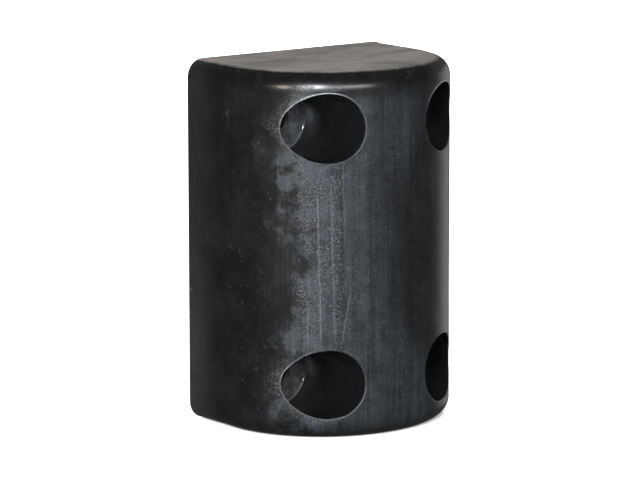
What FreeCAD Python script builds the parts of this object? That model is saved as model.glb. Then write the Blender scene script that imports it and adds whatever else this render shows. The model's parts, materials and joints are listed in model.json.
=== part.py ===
import FreeCAD, Part
import math
import os

# Moulded rubber bumper block with a D-shaped section, bolted to a dock face, wall or vehicle frame.
#
# The block is one rubber moulding: a flat mounting face, two flat sides and a half-oval nose. Four round
# pockets run in from the nose, and each ends on a steel washer that is moulded into the rubber. A steel
# sleeve runs from every washer to just short of the mounting face, so that the bolt clamps steel and the
# rubber isn't crushed.
#
# Frame: millimetres, +Z up, origin at the centre of the mounting face. The nose points along -Y and the
# mounting face looks along +Y. Left and right are as seen by someone who faces the nose.

# Overall size
HEIGHT = 241.3  # along Z
WIDTH = 165.1  # along X
PROJECTION = 120.65  # from the mounting face to the tip of the nose
SIDE_LENGTH = 44.45  # flat part of each side, from the mounting face to where the nose starts
END_ROUND = 12.0  # radius between the top or bottom face and the sides and nose

# Where the bolt holes are
HOLE_END_DISTANCE = 36.5  # hole axis to the nearer end of the block
HOLE_SIDE_DISTANCE = 35.55  # hole axis to the nearer side of the block

# Pocket for the bolt head and the socket that turns it
POCKET_DIAMETER = 45.4
SEAT_HEIGHT = 50.8  # mounting face to the washer face that the bolt head bears on

# Moulded-in washer
WASHER_THICKNESS = 4.8
WASHER_LIP = 4.3  # how far the washer's rim reaches into the rubber, outside the pocket wall

# Sleeve through the washer, for a 1/2 inch bolt
BOLT_HOLE_DIAMETER = 14.3
SLEEVE_WALL = 2.35
SLEEVE_SETBACK = 1.5  # how far the sleeve stops short of the mounting face
SLEEVE_CHAMFER = 0.6  # on the bore's edge at both ends

# The inserts are bonded in the mould and the sleeve is pressed into its washer, so nothing has play.
BOND_GAP = 0.0

OVERCUT = 1.0  # how far a cutting tool runs past a face
TOWARDS_NOSE = FreeCAD.Vector(0, -1, 0)

half_width = WIDTH / 2
half_height = HEIGHT / 2
nose_length = PROJECTION - SIDE_LENGTH
washer_back = SEAT_HEIGHT - WASHER_THICKNESS
washer_diameter = POCKET_DIAMETER + 2 * WASHER_LIP
sleeve_diameter = BOLT_HOLE_DIAMETER + 2 * SLEEVE_WALL
hole_x = half_width - HOLE_SIDE_DISTANCE
hole_z = half_height - HOLE_END_DISTANCE

CORNERS = {
    "upper_left": (-hole_x, hole_z),
    "upper_right": (hole_x, hole_z),
    "lower_left": (-hole_x, -hole_z),
    "lower_right": (hole_x, -hole_z),
}


def rod(x, z, diameter, start, end):
    """A round bar on the bolt axis at x, z, from start to end millimetres in front of the mounting face."""
    foot = FreeCAD.Vector(x, -start, z)
    return Part.makeCylinder(diameter / 2, end - start, foot, TOWARDS_NOSE)


def flare(x, z, start_diameter, end_diameter, start, end):
    """A cone frustum on the bolt axis at x, z, as wide as given at its start and at its end."""
    foot = FreeCAD.Vector(x, -start, z)
    return Part.makeCone(start_diameter / 2, end_diameter / 2, end - start, foot, TOWARDS_NOSE)


def nose_edge(z):
    """Half an ellipse from the right side round the nose to the left side, at height z."""
    centre = FreeCAD.Vector(0, -SIDE_LENGTH, z)
    tip = FreeCAD.Vector(0, -PROJECTION, z)
    right = FreeCAD.Vector(half_width, -SIDE_LENGTH, z)
    # An ellipse is named by its longer axis first, and its angle starts there.
    if nose_length > half_width:
        return Part.ArcOfEllipse(Part.Ellipse(tip, right, centre), -math.pi / 2, math.pi / 2).toShape()
    return Part.ArcOfEllipse(Part.Ellipse(right, tip, centre), 0, math.pi).toShape()


def section(z):
    """The D-shaped outline at height z as a face: mounting face, two flat sides and the nose."""
    back_left = FreeCAD.Vector(-half_width, 0, z)
    back_right = FreeCAD.Vector(half_width, 0, z)
    front_left = FreeCAD.Vector(-half_width, -SIDE_LENGTH, z)
    front_right = FreeCAD.Vector(half_width, -SIDE_LENGTH, z)
    edges = [
        Part.makeLine(back_left, back_right),
        Part.makeLine(back_right, front_right),
        nose_edge(z),
        Part.makeLine(front_left, back_left),
    ]
    return Part.Face(Part.Wire(Part.__sortEdges__(edges)))


def round_the_ends(block):
    """Rounds the top and bottom edges of the sides and nose, and leaves the mounting face's edges sharp."""
    flat = 1e-6
    rounded = []
    for edge in block.Edges:
        lies_at_an_end = edge.BoundBox.ZLength < flat
        lies_on_the_back = edge.BoundBox.YLength < flat
        if lies_at_an_end and not lies_on_the_back:
            rounded.append(edge)
    return block.makeFillet(END_ROUND, rounded)


def make_rubber_body():
    """The moulding: a rounded D-shaped block less its pockets and the room that the inserts take."""
    block = section(-half_height).extrude(FreeCAD.Vector(0, 0, HEIGHT))
    body = round_the_ends(block)
    for x, z in CORNERS.values():
        pocket = rod(x, z, POCKET_DIAMETER, SEAT_HEIGHT, PROJECTION + OVERCUT)
        washer_room = rod(x, z, washer_diameter + 2 * BOND_GAP, washer_back, SEAT_HEIGHT)
        sleeve_room = rod(x, z, sleeve_diameter + 2 * BOND_GAP, -OVERCUT, washer_back)
        body = body.cut(pocket.fuse([washer_room, sleeve_room]).removeSplitter())
    return body


def make_washer(x, z):
    """A flat steel ring whose rim is held in the rubber and whose front face is the floor of the pocket."""
    disc = rod(x, z, washer_diameter, washer_back, SEAT_HEIGHT)
    hole = rod(x, z, sleeve_diameter + 2 * BOND_GAP, washer_back - OVERCUT, SEAT_HEIGHT + OVERCUT)
    return disc.cut(hole)


def make_sleeve(x, z):
    """A steel tube, flush with the washer's front face, with both edges of its bore chamfered."""
    wide = BOLT_HOLE_DIAMETER + 2 * SLEEVE_CHAMFER
    back_wall = SLEEVE_SETBACK + SLEEVE_CHAMFER
    front_wall = SEAT_HEIGHT - SLEEVE_CHAMFER
    tube = rod(x, z, sleeve_diameter, SLEEVE_SETBACK, SEAT_HEIGHT)
    bore = rod(x, z, BOLT_HOLE_DIAMETER, SLEEVE_SETBACK - OVERCUT, SEAT_HEIGHT + OVERCUT)
    back_flare = flare(x, z, wide, BOLT_HOLE_DIAMETER, SLEEVE_SETBACK, back_wall)
    front_flare = flare(x, z, BOLT_HOLE_DIAMETER, wide, front_wall, SEAT_HEIGHT)
    return tube.cut(bore).cut(back_flare).cut(front_flare)


def export(name, shape):
    """Writes one node as STEP, after a check that it is a single valid solid."""
    if len(shape.Solids) != 1 or not shape.isValid():
        raise ValueError(name + " isn't one valid solid")
    solid = shape.Solids[0]
    solid.exportStep("parts/" + name + ".step")
    print(f"{name:20s} {solid.Volume / 1000:9.2f} cm3, {len(solid.Faces)} faces")


def main():
    os.makedirs("parts", exist_ok=True)
    export("rubber_body", make_rubber_body())
    for corner, (x, z) in CORNERS.items():
        export("washer_" + corner, make_washer(x, z))
        export("sleeve_" + corner, make_sleeve(x, z))


main()
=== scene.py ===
# %% [markdown]
# # A moulded rubber dock bumper
#
# The object is a block of black rubber that is bolted to a dock, a wall or a truck's frame and takes the
# knocks. It is one moulding with a flat back, two flat sides and a half-oval nose. Four deep round pockets
# run in from the nose. Each ends on a steel washer with a steel sleeve through it, so the bolts clamp steel.
#
# The design is fixed already: this lesson loads it as a frame and never moves or resizes it. What is left for
# Blender is the look: soft moulded edges, thin flash, a skin that isn't quite flat, rubber that has bloomed,
# gathered dust and been handled, and a few highlights and glows painted into its colour.

# %% Load the frame and keep its size
import json
import math
import bmesh
import bpy
import numpy as np
from mathutils import Matrix, Vector


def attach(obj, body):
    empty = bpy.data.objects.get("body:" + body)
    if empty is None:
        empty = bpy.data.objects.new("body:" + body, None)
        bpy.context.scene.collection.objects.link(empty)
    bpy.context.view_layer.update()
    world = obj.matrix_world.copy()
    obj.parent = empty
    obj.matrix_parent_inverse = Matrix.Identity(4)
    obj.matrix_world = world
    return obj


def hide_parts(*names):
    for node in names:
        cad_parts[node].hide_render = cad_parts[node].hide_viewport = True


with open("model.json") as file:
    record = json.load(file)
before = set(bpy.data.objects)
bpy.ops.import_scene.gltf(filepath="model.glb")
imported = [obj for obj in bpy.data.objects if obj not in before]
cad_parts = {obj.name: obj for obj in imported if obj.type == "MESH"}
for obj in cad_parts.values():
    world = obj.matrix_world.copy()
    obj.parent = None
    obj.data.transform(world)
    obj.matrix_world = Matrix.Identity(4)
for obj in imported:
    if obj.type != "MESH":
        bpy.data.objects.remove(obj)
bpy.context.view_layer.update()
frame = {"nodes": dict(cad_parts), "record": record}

print("pieces in the frame:", sorted(frame["nodes"]))

# %% [markdown]
# ## Read the design's sizes
#
# A size that is typed twice can drift apart, so every size that the frame knows is measured from it. The
# block's box gives its width, depth and height. Where the nose and the end rounding start comes from the
# points that lie on the flat side. Pockets and bolt holes are in the record as mounts.

# %% Sizes from the frame
def rows_of(items, field="co"):
    """One row of x, y and z for each vertex or normal of a mesh, in metres."""
    numbers = np.empty(len(items) * 3, np.float32)
    items.foreach_get(field, numbers)
    return numbers.reshape(-1, 3).astype(float)


def node_points(name):
    """Every vertex of one piece of the frame."""
    return rows_of(frame["nodes"][name].data.vertices)


block = node_points("rubber_body")
HALF_WIDTH = float(block[:, 0].max())
PROJECTION = float(-block[:, 1].min())
HALF_HEIGHT = float(block[:, 2].max())
TOUCHING = 1e-5  # metres: a point this near lies on a face
side = block[block[:, 0] > HALF_WIDTH - TOUCHING]
SIDE_LENGTH = float(-side[:, 1].min())
END_ROUND = float(HALF_HEIGHT - side[:, 2].max())
NOSE_DEPTH = PROJECTION - SIDE_LENGTH
MIDDLE_Y = -0.42 * PROJECTION  # where the ends close, and what the skin settles towards

mounts = {mount["name"]: mount for mount in frame["record"]["mounts"]}
POCKET_RADIUS = mounts["pocket_upper_left"]["dims"]["r_mm"] / 1000
BOLT_RADIUS = mounts["bolt_bore_upper_left"]["dims"]["r_mm"] / 1000
CORNERS = {}
for corner in ("upper_left", "upper_right", "lower_left", "lower_right"):
    x, _, z = mounts["pocket_" + corner]["pos_m"]
    CORNERS[corner] = (x, z)
HOLE_X = abs(x)
HOLE_Z = abs(z)

ring = node_points("washer_upper_left")
SEAT = float(-ring[:, 1].min())
WASHER_BACK = float(-ring[:, 1].max())
WASHER_RADIUS = float(np.ptp(ring[:, 0]) / 2)
pipe = node_points("sleeve_upper_left")
SLEEVE_RADIUS = float(np.ptp(pipe[:, 0]) / 2)
SLEEVE_BACK = float(-pipe[:, 1].max())
print(f"side {SIDE_LENGTH:.4f}, nose {NOSE_DEPTH:.4f}, end rounding {END_ROUND:.4f}, seat {SEAT:.4f}")

# %% [markdown]
# ## The D-shaped outline
#
# Seen from above, the block is a D. The nose is half an ellipse, whose point at angle t is half the width
# times the cosine of t across, and the nose's depth times its sine forwards. Columns of the skin should be
# evenly spaced along the real surface, so the outline is first traced finely, its length is added up, and any
# place on it can then be looked up by the distance from the left back edge.

# %% Outline helpers
SPACING = 0.002  # between neighbouring columns and rows of the rubber skin

turn = np.linspace(0, np.pi, 4001)
trace_x = np.concatenate([[-HALF_WIDTH], -HALF_WIDTH * np.cos(turn), [HALF_WIDTH]])
trace_y = np.concatenate([[0], -SIDE_LENGTH - NOSE_DEPTH * np.sin(turn), [0]])
step_lengths = np.hypot(np.diff(trace_x), np.diff(trace_y))
trace_s = np.concatenate([[0], np.cumsum(step_lengths)])
D_LENGTH = trace_s[-1]


def nose_y(x):
    """The nose's surface in front of x: the ellipse solved for y."""
    return -SIDE_LENGTH - NOSE_DEPTH * np.sqrt(np.clip(1 - (x / HALF_WIDTH) ** 2, 0, 1))


def outline(s, inset=0.0):
    """x and y at distance s along the D, moved inwards along the surface's normal by inset."""
    x = np.interp(s, trace_s, trace_x)
    y = np.interp(s, trace_s, trace_y)
    on_nose = y < -SIDE_LENGTH
    normal_x = np.where(on_nose, x / HALF_WIDTH**2, np.sign(x))
    normal_y = np.where(on_nose, (y + SIDE_LENGTH) / NOSE_DEPTH**2, 0.0)
    length = np.hypot(normal_x, normal_y)
    return x - inset * normal_x / length, y - inset * normal_y / length


def outline_length_at(x):
    """The distance along the D at which the nose reaches x."""
    return np.interp(x, trace_x[1:-1], trace_s[1:-1])


def lines_through(stops, spacing):
    """Line positions at every stop, and evenly spaced between neighbouring ones."""
    runs = []
    for start, end in zip(stops[:-1], stops[1:]):
        count = max(1, round(abs(end - start) / spacing))
        runs.append(np.linspace(start, end, count + 1)[:-1])
    return np.concatenate(runs + [[stops[-1]]])


print(f"the D's outline is {D_LENGTH * 1000:.1f} mm long")

# %% [markdown]
# ## Blocks of skin
#
# A hole in a curved wall could be cut with a Boolean, but that leaves long thin faces round its rim, where
# they show. So the skin is a patchwork of grids. Round each pocket a square of the grid is left out and
# filled by a ring, whose outer loop is the square's edge and whose inner loop is the rim. The grids share the
# same lines, so their edges meet point for point and are merged into one closed skin.

# %% Grid helpers
SAME_POINT = 2e-6  # points closer than this, in metres, are merged


class Skin:
    """Collects grids of points and the quads between them, then merges them into one mesh."""

    def __init__(self):
        self.points = []
        self.quads = []
        self.count = 0

    def add(self, grid, closed=False, keep=None):
        """Adds a grid of points with shape rows, columns, 3. A closed grid joins its last column to its
        first. keep says, for each cell, whether it gets a quad."""
        rows, columns = grid.shape[:2]
        index = self.count + np.arange(rows * columns).reshape(rows, columns)
        if closed:
            index = np.hstack([index, index[:, :1]])
        corners = [index[:-1, :-1], index[:-1, 1:], index[1:, 1:], index[1:, :-1]]
        quads = np.stack(corners, -1)
        quads = quads.reshape(-1, 4) if keep is None else quads[keep]
        self.points.append(grid.reshape(-1, 3))
        self.quads.append(quads)
        self.count += rows * columns

    def build(self, name, move=None, sharp_angle=40):
        """Merges points that coincide, turns every face outwards and returns the object. Faces that meet at
        more than sharp_angle degrees keep a hard edge between them."""
        mesh = bpy.data.meshes.new(name)
        points = np.concatenate(self.points)
        if move is not None:
            points = move(points)
        mesh.from_pydata(points, [], np.concatenate(self.quads))
        work = bmesh.new()
        work.from_mesh(mesh)
        bmesh.ops.remove_doubles(work, verts=work.verts, dist=SAME_POINT)
        bmesh.ops.recalc_face_normals(work, faces=work.faces)
        open_edges = sum(1 for edge in work.edges if not edge.is_manifold)
        work.to_mesh(mesh)
        work.free()
        mesh.shade_smooth()
        mesh.set_sharp_from_angle(angle=math.radians(sharp_angle))
        piece = bpy.data.objects.new(name, mesh)
        bpy.context.scene.collection.objects.link(piece)
        triangles = sum(len(face.vertices) - 2 for face in mesh.polygons)
        print(f"{name}: {triangles} triangles, {open_edges} open edges")
        return piece


def stack(x, y, z):
    """Three arrays that broadcast together, as one grid of points."""
    return np.stack(np.broadcast_arrays(x, y, z), -1)


def square_loop(x_lines, z_lines):
    """The points round the edge of a grid patch, anticlockwise from its lowest left corner."""
    across = len(x_lines) - 1
    up = len(z_lines) - 1
    x = [x_lines[:-1], [x_lines[-1]] * up, x_lines[:0:-1], [x_lines[0]] * up]
    z = [[z_lines[0]] * across, z_lines[:-1], [z_lines[-1]] * across, z_lines[:0:-1]]
    return np.column_stack([np.concatenate(x), np.concatenate(z)])


# %% [markdown]
# ## Soft numbers
#
# Moulded rubber is never quite true: it shrinks unevenly and its flash is torn off by hand. Both need numbers
# that wander smoothly. A sum of sine waves with random directions and phases does that, and a fixed seed
# gives the same block each time.

# %% Wandering numbers
def wander(points, wavelength, seed, waves=14):
    """A smooth random value at each point, mostly between -1 and 1: many plane waves, each with its own
    direction and phase and a wavelength near the one given, are added and scaled."""
    random = np.random.default_rng(seed)
    direction = random.normal(size=(waves, 3))
    direction /= np.linalg.norm(direction, axis=1, keepdims=True)
    rate = 2 * np.pi / wavelength * random.uniform(0.6, 1.4, waves)
    phase = random.uniform(0, 2 * np.pi, waves)
    total = np.sin(points @ (direction * rate[:, None]).T + phase).sum(-1)
    return total / np.sqrt(2 * waves)


def wander_round(angles, seed, lowest=2, highest=40):
    """A smooth random value round a ring, mostly between -1 and 1: sines with whole numbers of turns."""
    random = np.random.default_rng(seed)
    turns = np.arange(lowest, highest)
    size = random.normal(size=len(turns)) / np.sqrt(turns)
    phase = random.uniform(0, 2 * np.pi, len(turns))
    total = (size[:, None] * np.sin(turns[:, None] * angles + phase[:, None])).sum(0)
    return total / np.abs(total).max()


# %% [markdown]
# ## The rubber block: wall, roundings and ends
#
# The wall is a function of two numbers, the distance along the D and the height. At each end the wall turns
# over through a quarter circle: at angle a it has moved inwards by the radius times one minus the cosine of
# a, and up by the radius times its sine. Each end is then closed by rings that shrink to one point.

# %% Lines that the grids share
FLASH = 0.0012  # thickness of the fin that trimming leaves round the back edge
FRONT_TILE = HALF_HEIGHT - END_ROUND - HOLE_Z  # half the square that a pocket's ring fills
BACK_TILE = 0.014  # the same for a sleeve's hole in the back

tile_x = [-HOLE_X - FRONT_TILE, -HOLE_X + FRONT_TILE, HOLE_X - FRONT_TILE, HOLE_X + FRONT_TILE]
tile_s = [float(outline_length_at(x)) for x in tile_x]
s_stops = [0, FLASH / 2, FLASH, SIDE_LENGTH, *tile_s, D_LENGTH - SIDE_LENGTH]
s_stops += [D_LENGTH - FLASH, D_LENGTH - FLASH / 2, D_LENGTH]
S_LINES = lines_through(s_stops, SPACING)

tile_z = [HOLE_Z - FRONT_TILE, HOLE_Z - BACK_TILE, HOLE_Z + BACK_TILE, HOLE_Z + FRONT_TILE]
Z_LINES = lines_through([-stop for stop in tile_z[::-1]] + tile_z, SPACING)
turn_over = np.linspace(0, np.pi / 2, 9)


def between(lines, start, end):
    """The lines from start to end, both included."""
    return lines[(lines > start - 1e-7) & (lines < end + 1e-7)]


def cell_centres(column_lines, row_lines):
    """The column and row of every cell's middle."""
    columns = (column_lines[1:] + column_lines[:-1]) / 2
    rows = (row_lines[1:] + row_lines[:-1]) / 2
    return np.meshgrid(columns, rows)


front_s = [between(S_LINES, tile_s[0], tile_s[1]), between(S_LINES, tile_s[2], tile_s[3])]
front_z = [between(Z_LINES, -tile_z[3], -tile_z[0]), between(Z_LINES, tile_z[0], tile_z[3])]
back_z = [between(Z_LINES, -tile_z[2], -tile_z[1]), between(Z_LINES, tile_z[1], tile_z[2])]
RING_COUNT = 2 * (len(front_s[0]) + len(front_z[0]) - 2)
back_cells = RING_COUNT // 2 - (len(back_z[0]) - 1)
# Columns of the back, as shares of half its width
back_spacing = 2 * SPACING / HALF_WIDTH
back_stops = np.array([HOLE_X - BACK_TILE, HOLE_X + BACK_TILE]) / HALF_WIDTH
side_lines = lines_through([back_stops[1], 1], back_spacing)
tile_lines = np.linspace(back_stops[0], back_stops[1], back_cells + 1)
middle_lines = lines_through([-back_stops[0], back_stops[0]], back_spacing)
right_half = np.concatenate([tile_lines, side_lines[1:]])
U_LINES = np.concatenate([-right_half[::-1], middle_lines[1:-1], right_half])
print(f"{len(S_LINES)} columns, {len(Z_LINES)} rows, {RING_COUNT} points round each rim")

# %% [markdown]
# ## The pockets
#
# A core pin in the mould makes each pocket. Its rim is the circle of the pin on the curved nose, so it is a
# saddle in space and a circle along the bolt's axis. The rim isn't sharp: rubber tears off at the pin
# and leaves a soft edge with a thin raised lip. At the foot of the wall some rubber has crept over the
# washer. From there the skin follows the washer and the sleeve to the back, which leaves exactly their room.

# %% Rings and pockets
RIM_SOFTNESS = 0.0008  # how far the rim's rounding reaches each way
LIP_HEIGHT = 0.00014  # the rim's bead stands proud by up to twice this
CREEP = 0.0009  # how far rubber has crept over the washer's face
CREEP_DEPTH = 0.0003  # how thick it lies there
CREEP_FOOT = 0.0012  # how far above the washer the wall starts to bend inwards
BACK_EDGE = 0.0005  # rounding of the sleeve's hole in the back
WALL_SHARES = [*np.linspace(0, 0.95, 14)[1:] ** 1.3, 0.985, 1.0]  # rows down the wall


def pocket_rows(x0, z0, rim_angle, back_angle, seed):
    """The pocket's skin from rim to back face, as rows of points round its axis. Each row is a radius, a
    depth, and how far its angles have turned from the front ring's to the back ring's. The rim's rounding is
    a parabola from the nose to the wall. Its middle point lies a little in front of the nose, which raises a
    bead, and the bead's height wanders round the ring."""
    rough = wander_round(rim_angle, seed)
    bead = LIP_HEIGHT * (1.0 + wander_round(rim_angle, seed + 1, 3, 60))
    start_radius = POCKET_RADIUS + RIM_SOFTNESS
    start_y = nose_y(x0 + start_radius * np.cos(rim_angle))
    corner_y = nose_y(x0 + POCKET_RADIUS * np.cos(rim_angle))
    end_y = corner_y + RIM_SOFTNESS * (1.0 + 0.1 * rough)
    rows = []
    for t in np.linspace(0, 1, 9):
        radius = (1 - t) ** 2 * start_radius + (1 - (1 - t) ** 2) * POCKET_RADIUS
        depth = (1 - t) ** 2 * start_y + 2 * t * (1 - t) * (corner_y - 2 * bead) + t**2 * end_y
        rows.append((radius, depth, 0.0))
    foot = -SEAT - CREEP_FOOT
    for t in WALL_SHARES:
        rows.append((POCKET_RADIUS, end_y + t * (foot - end_y), 0.0))
    creep = POCKET_RADIUS - CREEP * (1.0 + 0.5 * rough)
    rows += [
        (POCKET_RADIUS - 0.0002, -SEAT - 0.0006, 0.0),
        (POCKET_RADIUS - 0.0006, -SEAT - CREEP_DEPTH, 0.0),
        (creep + 0.0002, -SEAT - 0.6 * CREEP_DEPTH, 0.0),
        (creep, -SEAT, 0.0),
        (WASHER_RADIUS, -SEAT, 0.3),
        (WASHER_RADIUS, -WASHER_BACK, 0.5),
        (SLEEVE_RADIUS, -WASHER_BACK, 1.0),
        (SLEEVE_RADIUS, -WASHER_BACK / 2, 1.0),
        (SLEEVE_RADIUS, -BACK_EDGE, 1.0),
        (SLEEVE_RADIUS + 0.3 * BACK_EDGE, -0.3 * BACK_EDGE, 1.0),
        (SLEEVE_RADIUS + BACK_EDGE, 0.0, 1.0),
    ]
    grid = []
    for radius, depth, twist in rows:
        angle = rim_angle + twist * (back_angle - rim_angle)
        grid.append(stack(x0 + radius * np.cos(angle), depth, z0 + radius * np.sin(angle)))
    return np.stack(grid)


def ring_between(x0, z0, start, angle, loop):
    """Rows of x and z that go evenly from a circle to a square loop."""
    share = np.linspace(0, 1, 6)[:, None]
    x = (1 - share) * (x0 + start * np.cos(angle)) + share * loop[:, 0]
    z = (1 - share) * (z0 + start * np.sin(angle)) + share * loop[:, 1]
    return x, z


# %% [markdown]
# ## All the skin together
#
# The wall comes first, with squares left out for the pockets. Then come the two ends, the back, and each
# corner's ring on the nose, its pocket and its ring on the back.

# %% Lay the grids
skin = Skin()
x_wall, y_wall = outline(S_LINES)
columns, rows = cell_centres(S_LINES, Z_LINES)
in_left_tiles = (columns > tile_s[0]) & (columns < tile_s[1])
in_right_tiles = (columns > tile_s[2]) & (columns < tile_s[3])
in_tiles = (in_left_tiles | in_right_tiles) & (np.abs(rows) > tile_z[0])
skin.add(stack(x_wall, y_wall, Z_LINES[:, None]), keep=~in_tiles)

for end in (-1, 1):
    inset = END_ROUND * (1 - np.cos(turn_over))[:, None]
    x, y = outline(S_LINES[None, :], inset)
    z = end * (HALF_HEIGHT - END_ROUND + END_ROUND * np.sin(turn_over))[:, None]
    skin.add(stack(x, y, z))
    back_x = U_LINES[::-1] * (HALF_WIDTH - END_ROUND)
    loop_x = np.concatenate([x[-1], back_x[1:-1]])
    loop_y = np.concatenate([y[-1], np.zeros(len(back_x) - 2)])
    share = np.concatenate([[0, 0.01, 0.02, 0.04], np.linspace(0.08, 1, 12)])[:, None]
    ring_x = loop_x * (1 - share)
    ring_y = MIDDLE_Y + (loop_y - MIDDLE_Y) * (1 - share)
    skin.add(stack(ring_x, ring_y, end * HALF_HEIGHT), closed=True)

turned_rows = HALF_HEIGHT - END_ROUND + END_ROUND * np.sin(turn_over[1:])
z_rows = np.concatenate([-turned_rows[::-1], Z_LINES, turned_rows])
past_wall = np.clip(np.abs(z_rows) - (HALF_HEIGHT - END_ROUND), 0, END_ROUND)
reach = HALF_WIDTH - END_ROUND + np.sqrt(np.clip(END_ROUND**2 - past_wall**2, 0, None))
columns, rows = cell_centres(U_LINES, z_rows)
in_tiles = (np.abs(columns) > back_stops[0]) & (np.abs(columns) < back_stops[1])
in_tiles &= (np.abs(rows) > tile_z[1]) & (np.abs(rows) < tile_z[2])
skin.add(stack(U_LINES * reach[:, None], 0.0, z_rows[:, None]), keep=~in_tiles)

for number, (x0, z0) in enumerate(CORNERS.values()):
    s_lines = front_s[0] if x0 < 0 else front_s[1]
    z_lines = front_z[0] if z0 < 0 else front_z[1]
    loop = square_loop(outline(s_lines)[0], z_lines)
    rim_angle = np.unwrap(np.arctan2(loop[:, 1] - z0, loop[:, 0] - x0))
    u_lines = tile_lines * HALF_WIDTH
    if x0 < 0:
        u_lines = -u_lines[::-1]
    back_loop = square_loop(u_lines, back_z[0] if z0 < 0 else back_z[1])
    back_angle = np.unwrap(np.arctan2(back_loop[:, 1] - z0, back_loop[:, 0] - x0))
    x, z = ring_between(x0, z0, POCKET_RADIUS + RIM_SOFTNESS, rim_angle, loop)
    skin.add(stack(x, nose_y(x), z), closed=True)
    skin.add(pocket_rows(x0, z0, rim_angle, back_angle, 10 * number + 5), closed=True)
    x, z = ring_between(x0, z0, SLEEVE_RADIUS + BACK_EDGE, back_angle, back_loop)
    skin.add(stack(x, 0.0, z), closed=True)


# %% [markdown]
# ## A skin that isn't quite true
#
# The design's faces are perfect, and perfect glossy black looks like plastic in a catalogue. Real rubber
# shrinks unevenly as it cools, and its reflections wobble. The design's box is the largest that the block may
# be, so the skin only moves inwards, by 0.6 mm at most. The mounting face stays flat, and so does the room
# round the inserts. Round the back edge a thin fin keeps its full width: that is where the mould closed.

# %% Settle the skin
LONG_WAVE = 0.075  # from crest to crest, as are the next two
SHORT_WAVE = 0.017
RAGGED_WAVE = 0.006  # along the fin's edge
WAVE_DEPTH = 0.00032  # how far the waves move the skin inwards, at most
FLASH_DEPTH = 0.00028  # how far the block is set back from the fin's edge
FADE = 0.006  # depth inside a pocket by which the skin is true again


def inside_pockets(points):
    """How deep each point lies in a pocket, in metres from the nose's surface, and zero outside them."""
    x, y, z = points.T
    distance = np.hypot(np.abs(x) - HOLE_X, np.abs(z) - HOLE_Z)
    inside = (distance < POCKET_RADIUS + 0.0005) & (y < -SEAT)
    inside |= (distance < WASHER_RADIUS + 0.001) & (y > -SEAT - 0.001) & (y < -WASHER_BACK + 0.001)
    inside |= (distance < SLEEVE_RADIUS + 0.0005) & (y > -WASHER_BACK - 0.001)
    return np.where(inside, np.maximum(y - nose_y(x), 0), 0)


def settle(points):
    """Moves points towards the block's middle. The amount is a long wave plus a fifth as much of a short one,
    both between zero and one, plus the trimmed fin's step near the back edge."""
    inwards = np.array([0, MIDDLE_Y, 0]) - points
    inwards /= np.linalg.norm(inwards, axis=1, keepdims=True) + 1e-9
    long_wave = np.clip(0.5 + 0.5 * wander(points, LONG_WAVE, 3), 0, 1)
    short_wave = np.clip(0.5 + 0.5 * wander(points, SHORT_WAVE, 4), 0, 1)
    from_back = np.clip(-points[:, 1] / 0.004, 0, 1)
    outside = np.clip(1 - inside_pockets(points) / FADE, 0, 1)
    amount = WAVE_DEPTH * from_back * (long_wave + 0.2 * short_wave) / 1.2
    ragged = 0.5 + 0.5 * wander(points, RAGGED_WAVE, 5)
    fin = np.clip(-points[:, 1] / FLASH - 0.5 * np.clip(ragged, 0, 1), 0, 1)
    amount = (amount + FLASH_DEPTH * fin) * outside
    return points + inwards * amount[:, None]


rubber = skin.build("rubber_block", settle)
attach(rubber, "root")
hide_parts("rubber_body")

# %% [markdown]
# ## Marks that the finish will read
#
# Some of the finish follows the shape: streaks run down the nose, dust lies on what faces up, rims carry a
# pale line, worn and painted brightest at the upper left as a highlight, and skin is crinkled near them. In a
# pocket, the lip of rubber that crept over the washer has a painted highlight, and a painted glow of light
# lies
# on the wall near it. Each is a number per point, stored on the mesh for the material to read. Most are
# bells:
# e to the minus square of a distance over the bell's width.

# %% Paint numbers on the rubber
def paint(piece, name, values):
    """Stores one number per point of a piece."""
    attribute = piece.data.attributes.new(name, "FLOAT", "POINT")
    attribute.data.foreach_set("value", values.astype(np.float32))
    print(f"{name}: {values.min():.3f} to {values.max():.3f}")


def around(points):
    """The distance along the D that lies nearest to each point, by its angle on the ellipse. Across the flat
    back it runs evenly from one end of the D to the other, so that it never jumps."""
    x, y, _ = points.T
    angle = np.arctan2(-(y + SIDE_LENGTH) / NOSE_DEPTH, -x / HALF_WIDTH)
    on_nose = np.interp(angle, turn, trace_s[1:-1])
    on_side = np.where(x < 0, -y, D_LENGTH + y)
    on_back = D_LENGTH * (x / HALF_WIDTH + 1) / 2
    return np.where(y < -SIDE_LENGTH, on_nose, np.where(y > -1e-6, on_back, on_side))


points = rows_of(rubber.data.vertices)
normals = rows_of(rubber.data.vertex_normals, "vector")
pocket_depth = inside_pockets(points)
paint(rubber, "around", around(points))
paint(rubber, "up", np.clip(normals[:, 2], 0, 1))
paint(rubber, "depth", pocket_depth)

# %% Paint the rims and the pockets
RIM_LINE_WIDTH = 0.0003  # width of the pale line on a rim, worn and painted as a highlight
RIM_HIGHLIGHT_ANGLE = math.radians(115)  # where the rim's painted highlight is brightest, from +X towards +Z
CRINKLED_RIM = 0.0055  # width of the crinkled skin outside a rim
GLOW_WIDTH = 0.0055  # across the wall and along the pocket
GLOW_UP = 0.004  # the painted glow's centre above the washer, along the pocket
GLOW_HEIGHT = 0.003  # and above the bolt's axis, up the block

side_x = points[:, 0] - HOLE_X * np.sign(points[:, 0])
side_z = points[:, 2] - HOLE_Z * np.sign(points[:, 2])
up_the_wall = -points[:, 1] - SEAT
rim_distance = np.hypot(np.abs(points[:, 0]) - HOLE_X, np.abs(points[:, 2]) - HOLE_Z) - POCKET_RADIUS
on_nose = (pocket_depth < 0.001) & (points[:, 1] < -SEAT)
within_rim = rim_distance < 0.0002

# The rims' pale line: worn all round, plus a painted highlight that is strongest at the upper left
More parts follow.
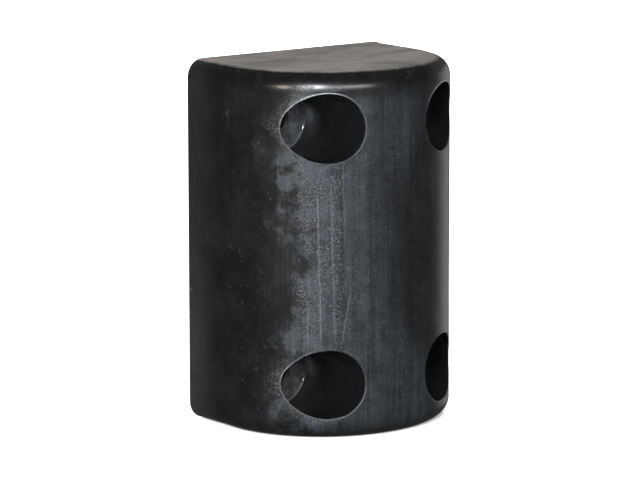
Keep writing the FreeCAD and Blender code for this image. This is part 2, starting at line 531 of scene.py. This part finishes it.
on_rim = np.exp(-(((rim_distance - 0.0001) / RIM_LINE_WIDTH) ** 2)) * on_nose
upper_left = np.clip(np.cos(np.arctan2(side_z, side_x) - RIM_HIGHLIGHT_ANGLE), 0, 1) ** 3
paint(rubber, "rim", on_rim * (0.14 + 0.86 * upper_left))
paint(rubber, "near_rim", np.exp(-((rim_distance / CRINKLED_RIM) ** 2)) * on_nose)
# A painted highlight along the lip of rubber that crept over the washer
crept_lip_highlight = within_rim & (rim_distance > -0.003) & (np.abs(points[:, 1] + SEAT) < 0.0008)
paint(rubber, "crept_lip_highlight", crept_lip_highlight.astype(float))
# A painted pool of light on each pocket wall near the washer, standing in for light reflected there
across_wall = np.arctan2(side_z - GLOW_HEIGHT, side_x) * POCKET_RADIUS
painted_wall_glow = np.exp(-((across_wall / GLOW_WIDTH) ** 2) - ((up_the_wall - GLOW_UP) / GLOW_WIDTH) ** 2)
paint(rubber, "painted_wall_glow", painted_wall_glow * within_rim * (up_the_wall > 0.0006))

# %% [markdown]
# ## Turned steel: washers and sleeves
#
# A washer is punched, so one side of its edge is rolled over, and a sleeve is cut from tube and chamfered.
# Both are outlines of radius and depth carried round the bolt's axis. Sharp corners never catch light, so
# every corner of an outline becomes a small parabola. A support point beyond each end of it keeps the flat
# parts flat.

# %% Turning helpers
def soften(corners, cut):
    """Rounds every corner of a closed outline with a parabola that starts and ends its cut away from the
    corner, and adds a support point beyond each end."""
    corners = np.array(corners, float)
    cut = np.array(cut, float)[:, None]
    before = np.roll(corners, 1, 0) - corners
    after = np.roll(corners, -1, 0) - corners
    before /= np.linalg.norm(before, axis=1, keepdims=True)
    after /= np.linalg.norm(after, axis=1, keepdims=True)
    start = corners + before * cut
    end = corners + after * cut
    t = np.linspace(0, 1, 5)[:, None, None]
    curve = (1 - t) ** 2 * start + 2 * t * (1 - t) * corners + t**2 * end
    support = [corners + before * cut * 1.5, corners + after * cut * 1.5]
    rows = np.concatenate([support[:1], curve, support[1:]])
    return rows.transpose(1, 0, 2).reshape(-1, 2)


def turned(name, outline_points, x0, z0, shape, segments=96):
    """Carries an outline of radius and depth round the bolt's axis: x and z are the centre's plus the radius
    times the cosine and sine of the angle. shape changes radius and depth from angle to angle."""
    angle = np.linspace(0, 2 * np.pi, segments, endpoint=False)
    loop = np.concatenate([outline_points, outline_points[:1]])
    radius, depth = shape(np.repeat(loop[:, :1], segments, 1), np.repeat(loop[:, 1:], segments, 1), angle)
    work = Skin()
    work.add(stack(x0 + radius * np.cos(angle), -depth, z0 + radius * np.sin(angle)), closed=True)
    piece = work.build(name, sharp_angle=35)
    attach(piece, "root")
    return piece


# %% [markdown]
# ## The four washers and sleeves
#
# A washer's face is the floor of its pocket and carries the bolt's load. It was punched slightly dished, and
# its hole is broken at the edge, so a fine groove shows where the sleeve comes through. A sleeve is welded
# tube, which has a low bead along its bore. Each washer is painted with a bell of light: a painted glow where
# the lamp reaches the pocket's floor.

# %% Shapes of the inserts
DISH = 0.0002  # how far a washer's face dips at its hole
BEAD = 0.0001  # the weld's height
BEAD_ANGLE = 4.0  # radians
BEAD_WIDTH = 0.12
BORE_CHAMFER = 0.0006


def dish(radius, depth, angle):
    """Lowers the washer's face evenly towards its hole, a little more or less from angle to angle."""
    share = np.clip((WASHER_RADIUS - radius) / (WASHER_RADIUS - SLEEVE_RADIUS), 0, 1)
    on_face = depth > (SEAT + WASHER_BACK) / 2
    wave = 1 + 0.3 * np.sin(3 * angle + 0.8)
    return radius, depth - on_face * DISH * share * wave


def weld_bead(radius, depth, angle):
    """Lowers the bore's radius along one line, as a bell-shaped bead."""
    in_bore = radius < (SLEEVE_RADIUS + BOLT_RADIUS) / 2
    bead = BEAD * np.exp(-(((angle - BEAD_ANGLE) / BEAD_WIDTH) ** 2))
    return radius - in_bore * bead, depth


# Corners as radius and depth, then how far each is cut back
washer_back = [(SLEEVE_RADIUS, WASHER_BACK), (WASHER_RADIUS, WASHER_BACK)]
washer_face = [(WASHER_RADIUS, SEAT), (SLEEVE_RADIUS, SEAT)]
washer_outline = soften(washer_back + washer_face, [0.0003, 0.0003, 0.0009, 0.0002])
sleeve_outline = soften(
    [
        (BOLT_RADIUS, SLEEVE_BACK + BORE_CHAMFER),
        (BOLT_RADIUS + BORE_CHAMFER, SLEEVE_BACK),
        (SLEEVE_RADIUS, SLEEVE_BACK),
        (SLEEVE_RADIUS, SEAT),
        (BOLT_RADIUS + BORE_CHAMFER, SEAT),
        (BOLT_RADIUS, SEAT - BORE_CHAMFER),
    ],
    [0.00015, 0.00015, 0.0003, 0.00015, 0.00015, 0.00015],
)

# %% Make the inserts
WASHER_GLOW_X = 0.0135  # from the bolt's axis to the middle of the painted glow
WASHER_GLOW_Z = 0.004
WASHER_GLOW_SPOT = 0.006  # the spot's width

plates = []
tubes = []
for corner, (x0, z0) in CORNERS.items():
    plate = turned("washer_plate_" + corner, washer_outline, x0, z0, dish)
    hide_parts("washer_" + corner)
    plate_points = rows_of(plate.data.vertices)
    # a painted glow on each washer's face, where light reaches the pocket's floor
    from_spot = np.hypot(plate_points[:, 0] - x0 - WASHER_GLOW_X, plate_points[:, 2] - z0 - WASHER_GLOW_Z)
    paint(plate, "washer_glow", np.exp(-((from_spot / WASHER_GLOW_SPOT) ** 2)))
    plates.append(plate)
    tube = turned("sleeve_tube_" + corner, sleeve_outline, x0, z0, weld_bead)
    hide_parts("sleeve_" + corner)
    tubes.append(tube)

# %% [markdown]
# ## A helper for finishes
#
# A material is a net of nodes. Written out in full it takes a line per node and per link, so this class adds
# nodes and links them in one call. What differs over the surface goes through nodes, and what is the same all
# over is set on the shader itself.

# %% Finish helper
class Finish:
    """A material under construction. A value may be a plain number or another node's output."""

    def __init__(self, name, **constants):
        self.material = bpy.data.materials.new(name)
        self.material.use_nodes = True
        self.tree = self.material.node_tree
        self.shader = self.tree.nodes["Principled BSDF"]
        self.show(**constants)
        self.place = self.add("ShaderNodeTexCoord").outputs["Object"]

    def show(self, **values):
        """Gives the shader's own inputs their values. Underscores in their names stand for spaces."""
        for socket, value in values.items():
            self.feed(self.shader.inputs[socket.replace("_", " ")], value)

    def feed(self, socket, value):
        """Links a socket to an output, or gives it a plain value."""
        if isinstance(value, bpy.types.NodeSocket):
            self.tree.links.new(value, socket)
        else:
            socket.default_value = value

    def add(self, kind, inputs=(), **settings):
        """Adds a node. inputs pairs a socket's name or number with its value."""
        node = self.tree.nodes.new(kind)
        for name, value in settings.items():
            setattr(node, name, value)
        for socket, value in dict(inputs).items():
            self.feed(node.inputs[socket], value)
        return node

    def number(self, name):
        """A number that was painted on the mesh."""
        return self.add("ShaderNodeAttribute", attribute_name=name).outputs["Fac"]

    def axis(self, letter):
        """The place on the piece along X, Y or Z, in metres."""
        return self.add("ShaderNodeSeparateXYZ", {0: self.place}).outputs[letter]

    def calc(self, operation, *values):
        """Arithmetic on numbers."""
        return self.add("ShaderNodeMath", enumerate(values), operation=operation).outputs[0]

    def product(self, *values):
        """All the values multiplied together."""
        result = values[0]
        for value in values[1:]:
            result = self.calc("MULTIPLY", result, value)
        return result

    def off(self, value, place):
        """How far the value is from a place, on either side."""
        return self.calc("ABSOLUTE", self.calc("SUBTRACT", value, place))

    def shifted(self, value, noise, reach):
        """A value moved up or down by as much as reach, as the noise says."""
        return self.calc("MULTIPLY_ADD", self.calc("SUBTRACT", noise, 0.5), 2 * reach, value)

    def noise(self, scale, detail, roughness, place=None, stretch=(1, 1, 1), shift=(0, 0, 0)):
        """Soft noise between 0 and 1 with scale lumps to the metre, stretched along each axis."""
        inputs = {"Vector": place or self.place, "Scale": stretch, "Location": shift}
        vector = self.add("ShaderNodeMapping", inputs).outputs[0]
        inputs = {"Vector": vector, "Scale": scale, "Detail": detail, "Roughness": roughness}
        return self.add("ShaderNodeTexNoise", inputs).outputs[0]

    def ramp(self, value, low, high, to_low=0.0, to_high=1.0):
        """Maps low to to_low and high to to_high smoothly, and stays level beyond both."""
        inputs = {0: value, 1: low, 2: high, 3: to_low, 4: to_high}
        return self.add("ShaderNodeMapRange", inputs, interpolation_type="SMOOTHSTEP").outputs[0]

    def blend(self, share, below, above):
        """Lays one colour over another where share is near 1."""
        inputs = {0: share, 6: below, 7: above}
        return self.add("ShaderNodeMix", inputs, data_type="RGBA").outputs[2]

    def relief(self, height, distance, strength=1.0, under=None):
        """Bumps of the given height in metres, on top of any bumps under them."""
        inputs = {"Height": height, "Distance": distance, "Strength": strength}
        if under is not None:
            inputs["Normal"] = under
        return self.add("ShaderNodeBump", inputs).outputs[0]

    def put_on(self, *pieces):
        """Gives the pieces this material alone."""
        for piece in pieces:
            piece.data.materials.clear()
            piece.data.materials.append(self.material)


def grey(level, warmth=0.0):
    """A linear colour of the given level. Warmth above zero leans to brown, and below it to blue."""
    return (level * (1 + warmth), level, level * (1 - warmth), 1.0)


# %% [markdown]
# ## Black rubber: where it is
#
# Moulded rubber is black all through. What makes it look like rubber lies on its skin: wax that has bloomed
# to a cloudy blue-grey, which is also painted paler and bluer as the key light's sheen down the nose, streaks
# from wiping, pale runs below a pocket, and dust on the end. Most follow the nose, so they are laid out on
# the unrolled skin, with the distance along the D across and the height up.
# Shares between 0 and 1 say whether a spot is in a pocket, outside them, off the back, or facing up.

# %% Rubber: places on the unrolled skin
black = Finish("black_moulded_rubber", Specular_IOR_Level=0.3)
along = black.number("around")
height = black.axis("Z")
behind = black.axis("Y")
unrolled = black.add("ShaderNodeCombineXYZ", {0: along, 2: height}).outputs[0]
inside = black.ramp(black.number("depth"), 0.0008, 0.003)
outside = black.calc("SUBTRACT", 1.0, inside)
off_back = black.ramp(behind, -0.0002, -0.0012)
facing_up = black.calc("MULTIPLY_ADD", black.noise(110, 3, 0.6), 0.1, black.number("up"))
on_top = black.product(black.ramp(facing_up, 0.935, 1.06), outside)

# %% [markdown]
# ## Black rubber: bloom and painted sheen
#
# Bloom starts at a ragged front on the left of the nose, is thickest by the runs, and thins towards the far
# side. Where it is thickest it also stands in for the key light's sheen, so its pale colour there is partly a
# painted sheen. Its front is the distance along the D shifted by noise, so it breaks up into islands, and at
# one height it is set back in a bay. Near the pockets the bloom reaches further to the right than between
# them.

# %% Rubber: where the bloom and its painted sheen lie
BLOOM_SHEEN_START = 0.078  # metres along the D from the left back edge, as are the next five
BLOOM_SHEEN_FULL = 0.110
BLOOM_SHEEN_THICK = 0.107
BLOOM_SHEEN_EVEN = 0.124
BLOOM_SHEEN_THIN = 0.178
WIPED_STRIP = 0.1272
BAY_HEIGHT = -0.024

cloud = black.noise(24, 6, 0.7)
clump = black.noise(85, 6, 0.72, shift=(3, 1, 2))
bay = black.ramp(black.off(height, BAY_HEIGHT), 0.034, 0.0)
cut_back = black.calc("MULTIPLY_ADD", bay, -0.014, along)
front = black.shifted(black.shifted(cut_back, cloud, 0.05), clump, 0.03)
started = black.ramp(front, BLOOM_SHEEN_START, BLOOM_SHEEN_FULL)
near_top = black.ramp(height, 0.035, 0.085, 0.0, 0.022)
near_foot = black.ramp(height, -0.035, -0.095, 0.0, 0.040)
reaching = black.calc("SUBTRACT", black.calc("SUBTRACT", along, near_top), near_foot)
reaching = black.shifted(reaching, clump, 0.025)
thinned = black.product(
    black.ramp(along, BLOOM_SHEEN_THICK, BLOOM_SHEEN_EVEN, 1.0, 0.52),
    black.ramp(reaching, BLOOM_SHEEN_EVEN + 0.026, BLOOM_SHEEN_THIN, 1.0, 0.2),
)

# %% [markdown]
# ## Black rubber: streaks and patches
#
# Wiping drew the bloom out into fine upright streaks, which are noise squeezed across and stretched along the
# height, and thinned one narrow strip. Near its front the bloom is all patches, and further on some lies
# between them too. It fades out over the rounded ends.

# %% Rubber: the strength of the bloom and painted sheen
brush = black.noise(1, 4, 0.6, place=unrolled, stretch=(620, 1, 14))
wide_brush = black.noise(1, 2, 0.5, place=unrolled, stretch=(130, 1, 5))
streak = black.ramp(black.calc("ADD", brush, wide_brush), 0.7, 1.3, 0.5, 1.2)
wiped = black.ramp(black.off(along, WIPED_STRIP), 0.0034, 0.0014, 1.0, 0.5)
least = black.ramp(along, 0.095, 0.125, 0.05, 0.55)
rest = black.calc("SUBTRACT", 1.0, least)
patchy = black.calc("MULTIPLY_ADD", black.ramp(clump, 0.36, 0.6), rest, least)
on_wall = black.product(
    black.ramp(height, HALF_HEIGHT - 0.7 * END_ROUND, HALF_HEIGHT - 1.9 * END_ROUND),
    black.ramp(height, -HALF_HEIGHT, -HALF_HEIGHT + END_ROUND),
)
# Bloom, and where it is thickest also a painted sheen of the key light
bloom_and_sheen = black.product(started, thinned, streak, wiped, patchy, on_wall, off_back, outside)

# %% [markdown]
# ## Black rubber: thin films
#
# The rest isn't evenly black either. A film lies in clouds all over, the skin is paler towards the back edges
# and the foot, the right side has paler patches, and the back still has talc from the mould.

# %% Rubber: film, paler edges and talc
film = black.ramp(black.noise(48, 6, 0.7, shift=(2, 8, 5)), 0.40, 0.66)
film = black.product(film, black.ramp(brush, 0.3, 0.7, 0.5, 1.0), outside)
film = black.calc("MAXIMUM", film, black.product(inside, 0.6))
low_down = black.ramp(height, 0.06, -0.12, 0.35, 1.0)
cloudy = black.ramp(cloud, 0.3, 0.6, 0.6, 1.0)
# paler towards the back edges and the foot
paler_to_back_and_foot = black.product(black.ramp(behind, -0.036, 0.0), low_down, cloudy, outside)
# paler patches over the right side of the nose
paler_right_side = black.ramp(black.noise(19, 6, 0.72, shift=(8, 5, 3)), 0.44, 0.66)
paler_right_side = black.product(paler_right_side, black.ramp(along, 0.185, 0.225), outside, off_back)
talc = black.ramp(black.noise(30, 6, 0.7, shift=(4, 4, 4), stretch=(0.35, 1, 1)), 0.4, 0.66)
talc = black.product(black.ramp(off_back, 1, 0), talc, outside)

# %% [markdown]
# ## Black rubber: runs and crinkle
#
# Something once ran down from the upper pocket and left pale lines. Each is a place along the D, which leans
# with the height, and a stretch of height that it covers. Between them and round the left pockets the skin is
# crinkled, because the bloom shrank there as it dried.

# %% Rubber: pale runs
# place along the D at mid-height, lean, top, foot, half width, strength
RUNS = [
    (0.1132, -0.024, 0.044, -0.062, 0.0009, 0.34),
    (0.1222, -0.022, 0.052, -0.062, 0.0011, 0.20),
    (0.1302, -0.019, 0.062, 0.004, 0.0009, 0.18),
    (0.1376, 0.168, -0.020, -0.062, 0.0008, 0.32),
    (0.1060, 0.000, -0.026, -0.062, 0.0008, 0.30),
]
wobble = black.noise(1, 2, 0.5, place=unrolled, stretch=(8, 1, 60))
wandering = black.shifted(along, wobble, 0.0008)
runs = 0.0
for place_along, lean, top, foot, half_width, strength in RUNS:
    middle = black.calc("MULTIPLY_ADD", height, lean, place_along)
    line = black.ramp(black.off(wandering, middle), half_width, 0, 0.0, strength)
    above_foot = black.ramp(height, foot, foot + 0.012)
    below_top = black.ramp(height, top + 0.003, top - 0.012)
    runs = black.calc("MAXIMUM", runs, black.product(line, above_foot, below_top))
broken = black.noise(700, 3, 0.7)
runs = black.product(runs, black.ramp(broken, 0.3, 0.62, 0.35, 1.0), outside, off_back)

# %% Rubber: crinkled skin
between_runs = black.product(
    black.ramp(along, 0.092, 0.106),
    black.ramp(along, 0.136, 0.124),
    black.ramp(black.calc("ABSOLUTE", height), 0.078, 0.066),
)
by_rim = black.product(black.number("near_rim"), black.ramp(along, 0.15, 0.12))
islands = black.ramp(black.noise(60, 4, 0.6, shift=(5, 2, 1)), 0.42, 0.54)
crinkle_zone = black.product(black.calc("MAXIMUM", between_runs, by_rim), islands, outside, off_back)
crinkle = black.noise(900, 4, 0.75, stretch=(1, 1, 0.85))
speckle = black.product(crinkle_zone, black.ramp(crinkle, 0.55, 0.66))
pitted = black.product(crinkle_zone, black.ramp(crinkle, 0.52, 0.43))

# %% [markdown]
# ## Black rubber: dust, grit, specks and scuffs
#
# The end that faces up holds dust, which handling has smudged. Fine pale and dark grit lies all over, most of
# it on the bloom. The single pale specks are cells with a small dot in some of them, and the scuffs are the
# thin lines where noise crosses one value.

# %% Rubber: dust and marks
smudge = black.noise(34, 5, 0.62, stretch=(0.5, 1, 1))
dust = black.product(on_top, black.ramp(smudge, 0.34, 0.62, 0.62, 1.0))

grit = black.noise(1000, 3, 0.75, shift=(6, 3, 9))
pale_grit = black.product(
    black.ramp(grit, 0.52, 0.66),
    black.ramp(bloom_and_sheen, 0, 0.4, 0.1, 0.28),
    black.ramp(black.number("up"), 0.05, 0.4, 1.0, 0.0),
    outside,
)
dark_grit = black.product(black.ramp(grit, 0.48, 0.36), outside, 0.6)

cells = black.add("ShaderNodeTexVoronoi", {"Vector": black.place, "Scale": 260.0})
dot = black.ramp(cells.outputs["Distance"], 0.13, 0.07)
picked = black.add("ShaderNodeSeparateColor", {0: cells.outputs["Color"]}).outputs[0]
specks = black.product(dot, black.ramp(picked, 0.80, 0.97), outside)

contour = black.off(black.noise(42, 3, 0.55, shift=(7, 7, 7)), 0.5)
some_places = black.ramp(black.noise(75, 2, 0.5, shift=(1, 9, 4)), 0.56, 0.66)
scuffs = black.product(black.ramp(contour, 0.0022, 0.0004), some_places, outside)

# %% [markdown]
# ## Black rubber: colour
#
# The marks are laid on black one after another, like coats of varnish. Each has a share, which says how much
# of it there is at a spot, and a colour. Bloom is bluer by the runs, where it also stands in for the cool key
# light's sheen, dust is brownish, and rims are the palest, with a painted highlight over their wear. The
# crept lip and a spot on each pocket wall carry painted light. The levels are linear, so 0.003 is nearly
# black and
# 0.1 a dark grey.

# %% Rubber: lay the colours
BLUE_PLACE = 0.114  # where along the D the bloom is bluest, a painted tint of the cool key light's sheen

blue = black.ramp(black.noise(30, 4, 0.6, shift=(9, 2, 6)), 0.38, 0.6)
blue = black.product(blue, black.ramp(black.off(along, BLUE_PLACE), 0.024, 0.006))
# bluer where the painted sheen of the cool key light lies
bloom_and_sheen_colour = black.blend(blue, grey(0.0185, -0.14), grey(0.0225, -0.3))
dust_colour = black.blend(black.noise(330, 5, 0.75), grey(0.066, 0.09), grey(0.098, 0.07))
# the rims' pale line: wear, with a painted highlight at the upper left
rim_wear_and_highlight = black.product(black.number("rim"), black.ramp(crinkle, 0.4, 0.6, 0.35, 1.0))
LAYERS = [
    (film, grey(0.0048, -0.06)),
    (paler_to_back_and_foot, grey(0.015, -0.03)),
    (paler_right_side, grey(0.016, -0.08)),
    (talc, grey(0.017, 0.02)),
    # bloom, partly a painted sheen
    (bloom_and_sheen, bloom_and_sheen_colour),
    (pale_grit, grey(0.045, -0.1)),
    (dark_grit, grey(0.003)),
    (black.product(speckle, 0.4), grey(0.11, -0.08)),
    (black.product(pitted, 0.9), grey(0.003)),
    (runs, grey(0.09, -0.14)),
    (black.product(specks, 0.5), grey(0.09, -0.02)),
    (black.product(scuffs, 0.6), grey(0.06, -0.05)),
    (dust, dust_colour),
    # painted highlight on the rims, over their wear
    (rim_wear_and_highlight, grey(0.26, -0.04)),
    # painted highlight on the crept lip
    (black.product(black.number("crept_lip_highlight"), 0.45), grey(0.07)),
    # painted glow of light on the pocket wall
    (black.number("painted_wall_glow"), grey(0.10, -0.05)),
]
colour = grey(0.0018, -0.03)
for share, layer_colour in LAYERS:
    colour = black.blend(share, colour, layer_colour)
print(len(LAYERS), "layers on the rubber")

# %% [markdown]
# ## Black rubber: gloss and relief
#
# Clean rubber is satin and what lies on it is duller, so bloom, runs, dust and film also raise the roughness.
# The relief holds a fine grain, the crinkled skin, and the slight hollows of the streaks. It is far under a
# millimetre high: everything larger is in the mesh.

# %% Rubber: gloss, relief and the finished material
dull = black.calc("MAXIMUM", black.calc("MAXIMUM", bloom_and_sheen, runs), dust)
dull = black.calc("MAXIMUM", dull, black.product(film, 0.35))
rough = black.ramp(dull, 0, 1, 0.32, 0.56)
rough = black.calc("MULTIPLY_ADD", inside, -0.08, rough)
brushed = black.product(brush, on_wall, off_back, outside)
rough = black.shifted(rough, brushed, 0.05)

bumps = black.relief(black.noise(1500, 3, 0.6), 0.00003, 0.5)
wrinkles = black.product(black.calc("SUBTRACT", crinkle, 0.5), crinkle_zone)
bumps = black.relief(wrinkles, 0.0005, under=bumps)
bumps = black.relief(brushed, 0.00002, 0.6, under=bumps)
black.show(Base_Color=colour, Roughness=rough, Normal=bumps)
black.put_on(rubber)

# %% [markdown]
# ## Steel of the inserts
#
# The washers went through the moulding press, so a film of rubber is baked on them and they look nearly as
# black as the block. Steel shows through in small spots, and a soft pale patch is a painted glow where light
# reaches the pocket's floor. The sleeves are plain dull tube, with the same film on their front ends.

# %% Washer finish
washer = Finish("filmed_washer_steel", Metallic=0.6)
baked = washer.ramp(washer.noise(170, 5, 0.68), 0.35, 0.65)
bare = washer.product(washer.ramp(washer.noise(420, 3, 0.6), 0.56, 0.7), 0.35)
# the painted glow on the washer's face
washer_glow = washer.product(washer.number("washer_glow"), washer.ramp(baked, 0, 1, 0.6, 1.0))
steel = washer.blend(baked, grey(0.02, -0.04), grey(0.05, -0.04))
steel = washer.blend(bare, steel, grey(0.16))
steel = washer.blend(washer_glow, steel, grey(0.24, -0.05))
gloss = washer.ramp(baked, 0, 1, 0.5, 0.4)
bumps = washer.relief(washer.noise(900, 3, 0.6), 0.00003)
washer.show(Base_Color=steel, Roughness=gloss, Normal=bumps)
washer.put_on(*plates)

# %% Sleeve finish
sleeve = Finish("dull_tube_steel", Metallic=0.9)
haze = sleeve.noise(260, 4, 0.6)
filmed = sleeve.ramp(sleeve.axis("Y"), -SEAT + 0.0030, -SEAT + 0.0006)
steel = sleeve.blend(haze, grey(0.3, 0.03), grey(0.12, 0.05))
steel = sleeve.blend(filmed, steel, grey(0.04, -0.02))
gloss = sleeve.ramp(haze, 0.3, 0.7, 0.35, 0.55)
bumps = sleeve.relief(sleeve.noise(1100, 3, 0.6), 0.00003)
sleeve.show(Base_Color=steel, Roughness=gloss, Normal=bumps)
sleeve.put_on(*tubes)

# %% [markdown]
# ## Floor
#
# The block stands on its lower end on a plain white floor, which is kept out of reflections, or it would turn
# the black grey. Away from the block the floor also glows, so that it is as pale at the horizon as under the
# lights.

# %% Floor
FLOOR_HALF = 12.0  # metres from the middle to each edge

corner_x = FLOOR_HALF * np.array([-1, 1, 1, -1])
corner_y = FLOOR_HALF * np.array([-1, -1, 1, 1])
floor_mesh = bpy.data.meshes.new("floor")
floor_mesh.from_pydata(stack(corner_x, corner_y, -HALF_HEIGHT), [], [(0, 1, 2, 3)])
floor = bpy.data.objects.new("floor", floor_mesh)
bpy.context.scene.collection.objects.link(floor)
floor.visible_glossy = False

white = Finish("white_floor", Roughness=0.7, Specular_IOR_Level=0.2, Emission_Color=grey(1.0))
tone = white.ramp(white.noise(1.5, 2, 0.5), 0.3, 0.7)
away = white.add("ShaderNodeVectorMath", {0: white.place}, operation="LENGTH").outputs["Value"]
glow = white.ramp(away, 0.25, 2.2, 0.25, 1.0)
white.show(Base_Color=white.blend(tone, grey(0.80), grey(0.82)), Emission_Strength=glow)
white.put_on(floor)

# %% [markdown]
# ## Studio
#
# Black rubber shows only what it mirrors, so the lights matter more than the colour. One soft box over the
# camera's shoulder draws the bright spot on the upper rounding, a small warm one stands further left, and a
# dim wide one draws the spot out to the right. One low on the far side lights the right edge. The one
# overhead lights the floor and the dust, and is kept out of reflections too.

# %% Lights
TARGET = Vector((0, -0.4 * PROJECTION, 0))


def towards(azimuth, elevation):
    """The direction at an azimuth from +Y towards +X and an elevation above the horizon, in degrees."""
    a = math.radians(azimuth)
    e = math.radians(elevation)
    return Vector((math.sin(a) * math.cos(e), math.cos(a) * math.cos(e), math.sin(e)))


def soft_box(name, azimuth, elevation, distance, width, tall, power, colour=(1, 1, 1)):
    """A rectangular light that faces the block."""
    light = bpy.data.lights.new(name, "AREA")
    light.shape = "RECTANGLE"
    light.size = width
    light.size_y = tall
    light.energy = power
    light.color = colour
    lamp = bpy.data.objects.new(name, light)
    way = towards(azimuth, elevation)
    lamp.location = TARGET + way * distance
    lamp.rotation_mode = "QUATERNION"
    lamp.rotation_quaternion = way.to_track_quat("Z", "Y")
    bpy.context.scene.collection.objects.link(lamp)
    return lamp


soft_box("key", -139, 22, 2.4, 0.46, 0.5, 125, (0.92, 0.96, 1.0))
soft_box("warm", -109, 17, 2.4, 0.24, 0.4, 25, (1.0, 0.89, 0.78))
soft_box("side_glow", -172, 20, 2.4, 1.3, 0.4, 40, (0.93, 0.96, 1.0))
soft_box("far_edge", 72, -4, 3.0, 1.6, 1.6, 6)
overhead = soft_box("overhead", 36, 70, 4.0, 5.0, 5.0, 420)
overhead.visible_glossy = False

# %% Room
ROOM_LEVEL = 0.095  # how brightly the room lights the block; the camera sees it at 1

world = bpy.data.worlds.new("studio")
world.use_nodes = True
nodes = world.node_tree.nodes
links = world.node_tree.links
room = nodes["Background"]
room.inputs["Color"].default_value = grey(1.0)
seen = nodes.new("ShaderNodeMapRange")
seen.inputs["To Min"].default_value = ROOM_LEVEL
seen.inputs["To Max"].default_value = 1.0
links.new(nodes.new("ShaderNodeLightPath").outputs["Is Camera Ray"], seen.inputs["Value"])
links.new(seen.outputs["Result"], room.inputs["Strength"])
bpy.context.scene.world = world
bpy.context.scene.view_settings.view_transform = "Standard"

# %% [markdown]
# ## Camera
#
# A long lens from two and a half metres away keeps the block's upright edges nearly parallel. The camera
# stands left of the nose and a little above the block. It faces a point inside the block, and is then moved
# a few millimetres without turning.

# %% Camera
LENS = 219.08
CAMERA_AZIMUTH = 36.649  # degrees to the left of the nose
CAMERA_LIFT = 10.184
CAMERA_TILT = -0.076
CAMERA_DISTANCE = 2.5815
CAMERA_LEFT = 0.0083
CAMERA_DOWN = 0.00161
AIM_Y = -0.04826

look = -towards(CAMERA_AZIMUTH - 180, CAMERA_LIFT)
across = look.cross(Vector((0, 0, 1))).normalized()
upwards = across.cross(look)
tilt = math.radians(CAMERA_TILT)
right = across * math.cos(tilt) + upwards * math.sin(tilt)
top = upwards * math.cos(tilt) - across * math.sin(tilt)
camera_data = bpy.data.cameras.new("camera")
camera_data.lens = LENS
camera_data.sensor_width = 36
camera = bpy.data.objects.new("camera", camera_data)
place = Vector((0, AIM_Y, 0)) - look * CAMERA_DISTANCE - right * CAMERA_LEFT - top * CAMERA_DOWN
frame_axes = Matrix((right, top, -look)).transposed().to_4x4()
camera.matrix_world = Matrix.Translation(place) @ frame_axes
bpy.context.scene.collection.objects.link(camera)
bpy.context.scene.camera = camera
print("camera at", [round(value, 3) for value in place])
